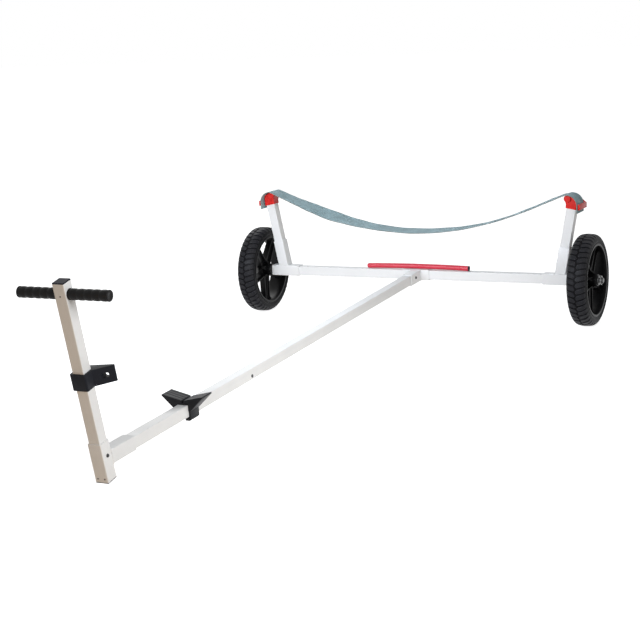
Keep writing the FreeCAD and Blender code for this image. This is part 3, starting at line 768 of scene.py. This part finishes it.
# %% Line of the sling
crown = Vector((690.0, 0, 356.5))
roll_radius, crown_radius, hang, tail_length, lift = 15.0, 42.7, 26, 32.0, 1.8
half_steps = 120


def round_from(centre, radius, start, end, count):
    """Points and outward directions on an arc, with angles in degrees from straight up."""
    for i in range(1, count + 1):
        turn = math.radians(start + (end - start) * i / count)
        out = Vector((math.sin(turn), 0, math.cos(turn)))
        yield centre + radius * out, out


def half_line():
    """The right half of the band's middle, from its lowest point to the tail."""
    hang_angle = math.radians(hang)
    roll = crown - Vector((0, 0, roll_radius))
    bulge = crown - Vector((0, 0, crown_radius))
    small, large = roll_radius + lift, crown_radius + lift
    leave = roll + small * Vector((-math.sin(hang_angle), 0, math.cos(hang_angle)))
    low = leave.z - leave.x * math.tan(hang_angle) / 2
    for i in range(half_steps + 1):
        x = leave.x * i / half_steps
        slope = math.tan(hang_angle) * x / leave.x
        yield Vector((x, 0, low + slope * x / 2)), Vector((-slope, 0, 1)).normalized()
    yield from round_from(roll, small, -hang, 0, 6)
    yield from round_from(bulge, large, 0, 90, 20)
    for i in range(1, 6):
        yield bulge + Vector((large, 0, -tail_length * i / 5)), Vector((1, 0, 0))


right_half = list(half_line())
left_half = [(Vector((-p.x, 0, p.z)), Vector((-n.x, 0, n.z))) for p, n in right_half[:0:-1]]
sling_line = left_half + right_half
lengths = [0.0]
for (a, _), (b, _) in zip(sling_line, sling_line[1:]):
    lengths.append(lengths[-1] + (b - a).length * mm)
print("the sling is", round(lengths[-1], 3), "m long")

# %% [markdown]
# Webbing is woven from flat yarns in short ribs. The weave is a pattern of waves over the band's own UV
# map, which holds metres along and across, so its yarns turn with the band over the caps. Noise makes
# the yarns hairy, and a greyer stripe runs along each edge, where the weft turns back.

# %% Finish of the webbing
yarn, stripe_start, stripe_end = 0.0024, 0.0455, 0.0475


def weave_group():
    """Height and tone of a webbing with two-over-two ribs, from a UV map in metres."""
    group, _, end = start_group("webbing weave", "ShaderNodeTree", {},
                                {"Height": number, "Tone": number})
    uv = step(group, "ShaderNodeUVMap", uv_map="band").outputs[0]
    scaled = step(group, "ShaderNodeVectorMath", {0: uv, "Scale": 2 * math.pi / yarn},
                  operation="SCALE")
    part = step(group, "ShaderNodeSeparateXYZ", {0: scaled.outputs["Vector"]})
    shift = maths(group, "SINE", maths(group, "MULTIPLY", part.outputs["Y"], 0.5))
    moved = maths(group, "MULTIPLY_ADD", maths(group, "SIGN", shift), 0.785, part.outputs["X"])
    weft = maths(group, "SINE", moved)
    warp = maths(group, "ABSOLUTE", maths(group, "SINE", part.outputs["Y"]))
    height = maths(group, "MULTIPLY_ADD", weft, 0.45, warp)
    fuzz = step(group, "ShaderNodeTexNoise", {"Vector": uv, "Scale": 1600.0, "Detail": 2.0})
    raised = maths(group, "MULTIPLY_ADD", fuzz, 0.6, height)
    slow = step(group, "ShaderNodeTexNoise", {"Vector": uv, "Scale": 14.0, "Detail": 3.0})
    wire(group, end, {"Height": raised, "Tone": maths(group, "MULTIPLY_ADD", raised, 0.22, slow)})
    return group


webbing = bpy.data.materials.new("woven webbing")
tree = blank_tree(webbing)
yarns = step(tree, "ShaderNodeGroup", node_tree=weave_group())
level = ramp(tree, yarns.outputs["Tone"], 0.3, 1.1)
cloth = blend(tree, level, (0.185, 0.31, 0.34, 1), (0.40, 0.60, 0.65, 1))
band_uv = step(tree, "ShaderNodeUVMap", uv_map="band").outputs[0]
across = step(tree, "ShaderNodeSeparateXYZ", {0: band_uv}).outputs["Y"]
selvedge = ramp(tree, maths(tree, "ABSOLUTE", across), stripe_start, stripe_end)
bump = step(tree, "ShaderNodeBump", {"Distance": 0.00035, "Height": yarns.outputs["Height"]})
rough = step(tree, "ShaderNodeMapRange", {"Value": level, "To Min": 0.85, "To Max": 0.65})
shader = step(tree, "ShaderNodeBsdfPrincipled", {
    "Base Color": blend(tree, selvedge, cloth, (0.34, 0.36, 0.34, 1)), "Roughness": rough,
    "Normal": bump, "Specular IOR Level": 0.25, "Sheen Weight": 0.25, "Sheen Roughness": 0.5})
step(tree, "ShaderNodeOutputMaterial", {"Surface": shader})
print("webbing yarns are", round(yarn / mm, 1), "mm wide")

# %% [markdown]
# The band is a row of thin sections set along that line, with rounded edges. In the photograph its two
# edges hang a little above or below the middle, so a short table of lifts is smoothed along the band,
# and a slight ripple keeps the free part from looking like sheet metal.

# %% Sling
sling_skin, half_width, free_half = 1.25, 50, 640
across_band = [-49.6, -49.2, -48, -44, -33, -22, -11, 0, 11, 22, 33, 44, 48, 49.2, 49.6]
edge_lift = [(-690, 0, 0), (-650, 3, 1), (-600, 6, 1), (-550, 10, 0), (-500, 13, -4),
             (-400, 13, -8), (-300, 9, -5), (-200, 5, -4), (-100, 3, -3), (0, 4, -4), (100, 4, -4),
             (200, 2, -3), (300, 2, 0), (400, 5, 1), (500, 9, 3), (600, 11, 4), (650, 8, 2),
             (690, 0, 0)]


def edges_at(x):
    """How far the band's back and front edges hang above its middle line there, in millimetres."""
    if abs(x) >= crown.x:
        return 0.0, 0.0
    i, share = stretch_at([row[0] for row in edge_lift], x)
    share = share * share * (3 - 2 * share)
    return tuple(p + share * (q - p) for p, q in zip(edge_lift[i][1:], edge_lift[i + 1][1:]))


def thickness_at(y):
    """Half the thickness across the band, which thins to a round selvedge."""
    return sling_skin * math.sqrt(max(0.12, 1 - max(0.0, (abs(y) - 46.6) / 3.0) ** 2))


def section_at(point, out, along):
    """Points round the band at one place of its line, each with its place on the UV map."""
    hangs = max(0.0, 1 - (abs(point.x) / free_half) ** 6)
    back, front = edges_at(point.x)
    for side in (1, -1):
        for y in across_band[::side]:
            ripple = 0.5 * math.sin(along * 19 + (1 if y > 0 else 2.2))
            ripple += 0.3 * math.sin(along * 47 + y / 30)
            tilt = (back * (y + half_width) + front * (half_width - y)) / (2 * half_width)
            drop = hangs * (abs(y) / half_width) ** 2 * ripple + tilt
            place = point + Vector((0, y, 0)) + out * (side * thickness_at(y) + drop)
            yield axle @ (place * mm), (along, y * mm)


bm = bmesh.new()
layer = bm.loops.layers.uv.new("band")
stations, station_uv = [], {}
for (point, out), along in zip(sling_line, lengths):
    stations.append([])
    for place, uv in section_at(point, out, along):
        stations[-1].append(bm.verts.new(place))
        station_uv[stations[-1][-1]] = uv
bridge(bm, stations)
for end in (stations[0], stations[-1]):
    for j in range(len(end) // 2 - 1):
        bm.faces.new((end[j], end[j + 1], end[-2 - j], end[-1 - j]))
bmesh.ops.recalc_face_normals(bm, faces=bm.faces)
for face in bm.faces:
    for loop in face.loops:
        loop[layer].uv = station_uv[loop.vert]
sling = piece("webbing_sling", bm, webbing, "frame", crease=70, recalc=False)
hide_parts("sling_strap")

# %% [markdown]
# ## Stitches and welds
# Both follow a line, so one tree makes them. It walks along the line in even steps and sets a small
# rounded bead at each: long and thin for thread, short and fat for the ripples of a weld. Only the sizes
# differ, and a seed makes some beads a little smaller.

# %% Geometry Nodes: beads along a line
def bead_tree():
    tree, takes, end = start_group(
        "beads along a line", "GeometryNodeTree",
        {"Line": geometry, "Spacing": number, "Size": vector, "Unevenness": number, "Seed": whole,
         "Finish": stuff}, {"Beads": geometry})
    line = step(tree, "GeometryNodeMeshToCurve", {0: takes["Line"]})
    points = step(tree, "GeometryNodeCurveToPoints", {"Curve": line, "Length": takes["Spacing"]},
                  mode="LENGTH")
    along = step(tree, "FunctionNodeAlignRotationToVector", {"Vector": points.outputs["Tangent"]},
                 axis="X")
    ball = step(tree, "GeometryNodeMeshUVSphere", {"Segments": 8, "Rings": 5, "Radius": 0.5})
    shaped = step(tree, "GeometryNodeTransform", {"Geometry": ball, "Scale": takes["Size"]})
    least = maths(tree, "SUBTRACT", 1.0, takes["Unevenness"])
    uneven = step(tree, "FunctionNodeRandomValue", {"Seed": takes["Seed"], 2: least, 3: 1.0},
                  data_type="FLOAT")
    copies_on(tree, end, takes["Finish"], Points=points.outputs["Points"], Instance=shaped,
              Rotation=along, Scale=uneven.outputs[1])
    return tree


beads_along = bead_tree()


def string_beads(name, lines, material, slot_name, closed=False, **sizes):
    """Sets beads along each row of points and makes them one piece."""
    verts, edges = [], []
    for line in lines:
        first = len(verts)
        verts += line
        edges += [(first + i, first + i + 1) for i in range(len(line) - 1)]
        if closed:
            edges.append((len(verts) - 1, first))
    mesh = bpy.data.meshes.new("line")
    mesh.from_pydata(verts, edges, [])
    beads = run_nodes(beads_along, mesh, finish=material, **sizes)
    piece(name, bmesh_of(beads), material, "frame", recalc=False)


tell(beads_along)

# %% [markdown]
# Each tail is sewn with two rows of thread, a few millimetres above its end. A row is one line across
# the tail, just proud of the band's outer face, and the beads on it are the stitches.

# %% Stitches in the sling's tails
def tail_stitches():
    outer = (crown.x + crown_radius + lift + sling_skin) * mm
    foot = (crown.z - crown_radius - tail_length) * mm
    for side in (1, -1):
        for rise in (5 * mm, 10 * mm):
            yield [axle @ Vector((side * outer, y * mm, foot + rise)) for y in (-44, -15, 15, 44)]


string_beads("tail_stitches", tail_stitches(), webbing, "webbing", spacing=0.0042,
             size=(0.0034, 0.0009, 0.0009), unevenness=0.06, seed=3)

# %% [markdown]
# The sleeves are welded where one meets another's face. The weld's line is where the sleeve's four
# corner lines pierce that face, so it is worked out from the frames and a slanted sleeve gets its true,
# longer loop.

# %% Weld beads round the sleeves
sleeve_half = 23.3 * mm


def meeting_loop(tube_frame, axis, plane_point, plane_normal):
    """The four corners at which a square sleeve meets a flat face."""
    along = axis_of(tube_frame, axis)
    u, v = [i for i in range(3) if i != axis]
    corners = []
    for a, b in ((-1, -1), (1, -1), (1, 1), (-1, 1)):
        local = Vector((0, 0, 0))
        local[u], local[v] = a * sleeve_half, b * sleeve_half
        start = tube_frame @ local
        reach_on = (plane_point - start).dot(plane_normal) / along.dot(plane_normal)
        corners.append(start + along * reach_on)
    return corners


post_back = axis_of(post, 1)
axle_top, up = axle @ Vector((0, 0, sleeve_half)), Vector((0, 0, 1))
weld_loops = [
    meeting_loop(spine, 1, post @ Vector((0, sleeve_half, 0)), post_back),
    meeting_loop(spine, 1, axle @ Vector((0, -sleeve_half, 0)), Vector((0, 1, 0))),
    meeting_loop(upright, 2, axle_top, up),
    meeting_loop(mirror @ upright @ mirror, 2, axle_top, up),
]
string_beads("weld_beads", weld_loops, white_coat, "white_tube", closed=True, spacing=0.0017,
             size=(0.0034, 0.0042, 0.0042), unevenness=0.2, seed=7)

# %% [markdown]
# ## Rounded edges
# No moulded or sawn edge is perfectly sharp. Where the CAD has plain edges, its pieces are copied here,
# their loose triangles are merged into flat faces again, and a Bevel modifier takes 0.5 to 1.6 mm off
# each edge. The copy replaces the node in the picture and stays in its place.

# %% Rounded copies of CAD pieces
def rounded_copy(name, width, segments, material):
    bm = bmesh_of(nodes[name].data)
    bmesh.ops.remove_doubles(bm, verts=bm.verts, dist=2e-6)
    bmesh.ops.dissolve_limit(bm, angle_limit=math.radians(0.6), verts=bm.verts, edges=bm.edges)
    thing = add_object("blank", to_mesh(bm, name))
    bevel = thing.modifiers.new("edges", "BEVEL")
    bevel.width, bevel.segments = width * mm, segments
    bevel.limit_method, bevel.angle_limit = "ANGLE", math.radians(32)
    made = piece(f"rounded_{name}", bmesh_of(evaluated_mesh(thing)), material, "frame",
                 crease=40, recalc=False)
    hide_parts(name)


rounded_copy("bow_snubber", 1.6, 3, snubber_rubber)
for name in both_sides("sling_cap_*"):
    rounded_copy(name, 1.2, 3, red_plastic)
rounded_copy("keel_chock", 1.3, 2, chock_rubber)
for name in ("front_socket", "centre_socket", *both_sides("corner_socket_*")):
    rounded_copy(name, 0.5, 2, white_coat)

# %% [markdown]
# ## Bolts and rivets
# A head is a washer, a block with six sides or nearly round, and a low dome on top. It is built once,
# inside a Geometry Nodes tree, which sets it on points that carry the way they face.

# %% Geometry Nodes: heads on points
def head_tree():
    tree, takes, end = start_group(
        "heads on points", "GeometryNodeTree",
        {"Places": geometry, "Radius": number, "Height": number, "Sides": whole,
         "Washer": number, "Finish": stuff}, {"Heads": geometry})
    half = maths(tree, "MULTIPLY", takes["Height"], 0.5)
    half_up = step(tree, "ShaderNodeCombineXYZ", {"Z": half})
    block = step(tree, "GeometryNodeMeshCylinder",
                 {"Vertices": takes["Sides"], "Radius": takes["Radius"], "Depth": takes["Height"]})
    stood = step(tree, "GeometryNodeTransform", {"Geometry": block, "Translation": half_up})
    disc = step(tree, "GeometryNodeMeshCylinder",
                {"Vertices": 24, "Radius": takes["Washer"], "Depth": 0.0016})
    ball = step(tree, "GeometryNodeMeshUVSphere", {"Segments": 16, "Rings": 8, "Radius": 1.0})
    flat = maths(tree, "MULTIPLY", takes["Height"], 0.35)
    wide = maths(tree, "MULTIPLY", takes["Radius"], 0.86)
    size = step(tree, "ShaderNodeCombineXYZ", {"X": wide, "Y": wide, "Z": flat})
    top = step(tree, "ShaderNodeCombineXYZ", {"Z": takes["Height"]})
    dome = step(tree, "GeometryNodeTransform",
                {"Geometry": ball, "Translation": top, "Scale": size})
    whole_head = step(tree, "GeometryNodeJoinGeometry")
    for part in (stood, disc, dome):
        tree.links.new(part.outputs[0], whole_head.inputs[0])
    facing = step(tree, "GeometryNodeInputNamedAttribute", {"Name": "facing"},
                  data_type="FLOAT_VECTOR")
    turn = step(tree, "FunctionNodeAlignRotationToVector", {"Vector": facing}, axis="Z")
    copies_on(tree, end, takes["Finish"], Points=takes["Places"], Instance=whole_head,
              Rotation=turn)
    return tree


heads_on_points = head_tree()


def heads(name, places, **sizes):
    """Puts a dark head on every place, each given with the way that it faces."""
    mesh = bpy.data.meshes.new("places")
    mesh.from_pydata([point for point, _ in places], [], [])
    facing = mesh.attributes.new("facing", "FLOAT_VECTOR", "POINT")
    for i, (_, way) in enumerate(places):
        facing.data[i].vector = way.normalized()
    made = run_nodes(heads_on_points, mesh, finish=dark_steel, **sizes)
    piece(name, bmesh_of(made), dark_steel, "frame", recalc=False)


tell(heads_on_points)

# %% [markdown]
# A dark bolt goes through the post's sleeve and another through the sleeve at the axle. A flat round head
# stands low on each side of the spine, behind the chock. One small rivet holds the handle and two close
# the foot of the sleeve. Their places are typed along and across the tube that carries them.

# %% Bolts and rivets
tube_half_mm, sleeve_half_mm = 20, 23.3


def on_sides(held, half, y, z):
    """A place on the right and left face of the post or the spine, and the way each looks."""
    return [(held @ Vector((side * half * mm, y * mm, z * mm)), Vector((side, 0, 0)))
            for side in (1, -1)]


sleeve_bolts = on_sides(post, sleeve_half_mm, 0, 12) + on_sides(spine, sleeve_half_mm, 2387, 3)
heads("sleeve_bolts", sleeve_bolts, radius=0.0054, height=0.0036, sides=6, washer=0.0062)
heads("spine_rivets", on_sides(spine, tube_half_mm, 907.5, -7), radius=0.0060, height=0.0014,
      sides=20, washer=0.0064)
front_places = [(0, tube_half_mm, 536), (-12, sleeve_half_mm, -58), (12, sleeve_half_mm, -58)]
post_rivets = [(post @ Vector((x * mm, -half * mm, z * mm)), -post_back)
               for x, half, z in front_places]
heads("post_rivets", post_rivets, radius=0.0021, height=0.0006, sides=16, washer=0.0024)

# %% [markdown]
# ## Ring pins
# A wheel is kept on by a pin through the axle with a ring swung down over its end. The CAD has them as
# plain solids. Here the ring is round wire, and the pin has a rounded tip and a collar where the ring
# is hinged.

# %% Ring pins
pin_outline = [(-15.2, pole), (-15.2, 1.3), (-14.2, 2.3), (-13, 2.5), (13.5, 2.5), (14, 3.6),
               (19.2, 3.6), (20, 2.8), (20, pole)]
pin_reach, ring_offset, ring_radius, wire_half, wire_points = 817.3, 3.4, 17.0, 1.7, 14
wire_turns = [2 * math.pi * i / wire_points for i in range(wire_points)]
wire_outline = [(wire_half * math.cos(turn), ring_radius + wire_half * math.sin(turn))
                for turn in wire_turns]


def ring_pin(name, side):
    centre = axle @ Vector((side * pin_reach * mm, 0, 0))
    ring_centre = centre + Vector((side * ring_offset * mm, 0, 0))
    bm = turned(wire_outline, Matrix.Translation(ring_centre), 56)
    stood = Matrix.Translation(centre) @ turn_about("Y", -90)
    turned(pin_outline, stood, 20, closed=False, onto=bm)
    made = piece(f"wire_{name}", bm, bright_steel, "frame")
    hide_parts(name)


ring_pin("axle_pin_right", 1)
ring_pin("axle_pin_left", -1)

# %% [markdown]
# ## Grips
# Each grip is a rubber sleeve with a flange, five barrels and an end knob. It is turned again with soft
# edges, and low ridges run round every barrel, which the hand feels and the light catches.

# %% Grips
handle_height, first, last = 537, 20.5, 157.3
barrels_start, barrels_end, barrel_count = 24.3, 153.5, 5
deep, proud = 15.8, 17.3


def grip_outline():
    step_along = (barrels_end - barrels_start) / barrel_count
    points = [(first, 13.0), (first, 16.6), (first + 0.7, proud), (first + 3.2, proud),
              (first + 3.9, 16.6)]
    for barrel_number in range(barrel_count):
        start = barrels_start + barrel_number * step_along
        for i in range(1, 25):
            share = i / 24
            bulge = deep + (proud - deep) * math.sin(math.pi * share) ** 0.8
            ridge = 0.22 * math.cos(2 * math.pi * share * 8) * math.sin(math.pi * share)
            points.append((start + share * step_along, min(bulge + ridge, 17.4)))
    return points + [(153.9, 16.9), (154.6, proud), (last - 1.6, proud), (last - 0.5, 16.8),
                     (last, 15.6), (last, 9.5), (last - 0.5, 8.8), (last - 0.5, pole)]


def grip(name, side):
    place = post @ Matrix.Translation((0, 0, handle_height * mm)) @ Matrix.Scale(side, 4, (1, 0, 0))
    bm = turned(grip_outline(), place, 48, closed=False)
    made = piece(f"ribbed_{name}", bm, grip_rubber, "frame", crease=50)
    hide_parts(name)


grip("grip_right", 1)
grip("grip_left", -1)

# %% [markdown]
# ## Hull guard
# The guard is a red pipe that bows up a little over the middle socket, closed round at its left end and
# flat at its right end. A dark disc of end plastic in that right end is painted shade for the inside of
# the open bore. It is turned straight and then bent: each point moves onto the bow's arc.

# %% Hull guard
guard_half, guard_rise, guard_crest, pipe_radius, shade_disc_start = 240.0, 3.7, 35.1, 11, 237.2
bow = (guard_half ** 2 + guard_rise ** 2) / (2 * guard_rise)


def bent_pipe(name, outline, material):
    """Turns an outline of (along, radius) and bends it onto the guard's arc."""
    bm = turned(outline, Matrix.Identity(4), 40, closed=False)
    for vert in bm.verts:
        x, y, z = vert.co / mm
        turn, out = x / bow, bow + z
        on_arc = Vector((out * math.sin(turn), y, guard_crest - bow + out * math.cos(turn)))
        vert.co = axle @ (on_arc * mm)
    return piece(name, bm, material, "frame")


guard_outline = [(-240, pole), (-239.6, 3.8), (-238.4, 7.2), (-236.4, 9.6), (-233.8, 10.8),
                 (-231.5, pipe_radius)]
guard_outline += [(x, pipe_radius) for x in (*range(-220, 237, 20), shade_disc_start)]
guard_outline.append((shade_disc_start, pole))
guard = bent_pipe("red_guard", guard_outline, red_pipe)
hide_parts("hull_guard")
# A dark disc set in the pipe's right end: painted shade for the open bore.
bent_pipe("guard_bore_shade", [(shade_disc_start, pole), (shade_disc_start, pipe_radius), (239.3, pipe_radius),
                         (240, 10.3), (240, 8.4), (239.4, 7.8), (239.4, pole)],
          end_plastic)

# %% [markdown]
# The last cell writes the boxes round the CAD pieces and round all that can be seen, so that the two can
# be compared.

# %% Write the box sizes and finish
for label, box in (("cad", cad_box), ("visual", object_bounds())):
    print(label, [[round(v, 4) for v in corner] for corner in box])
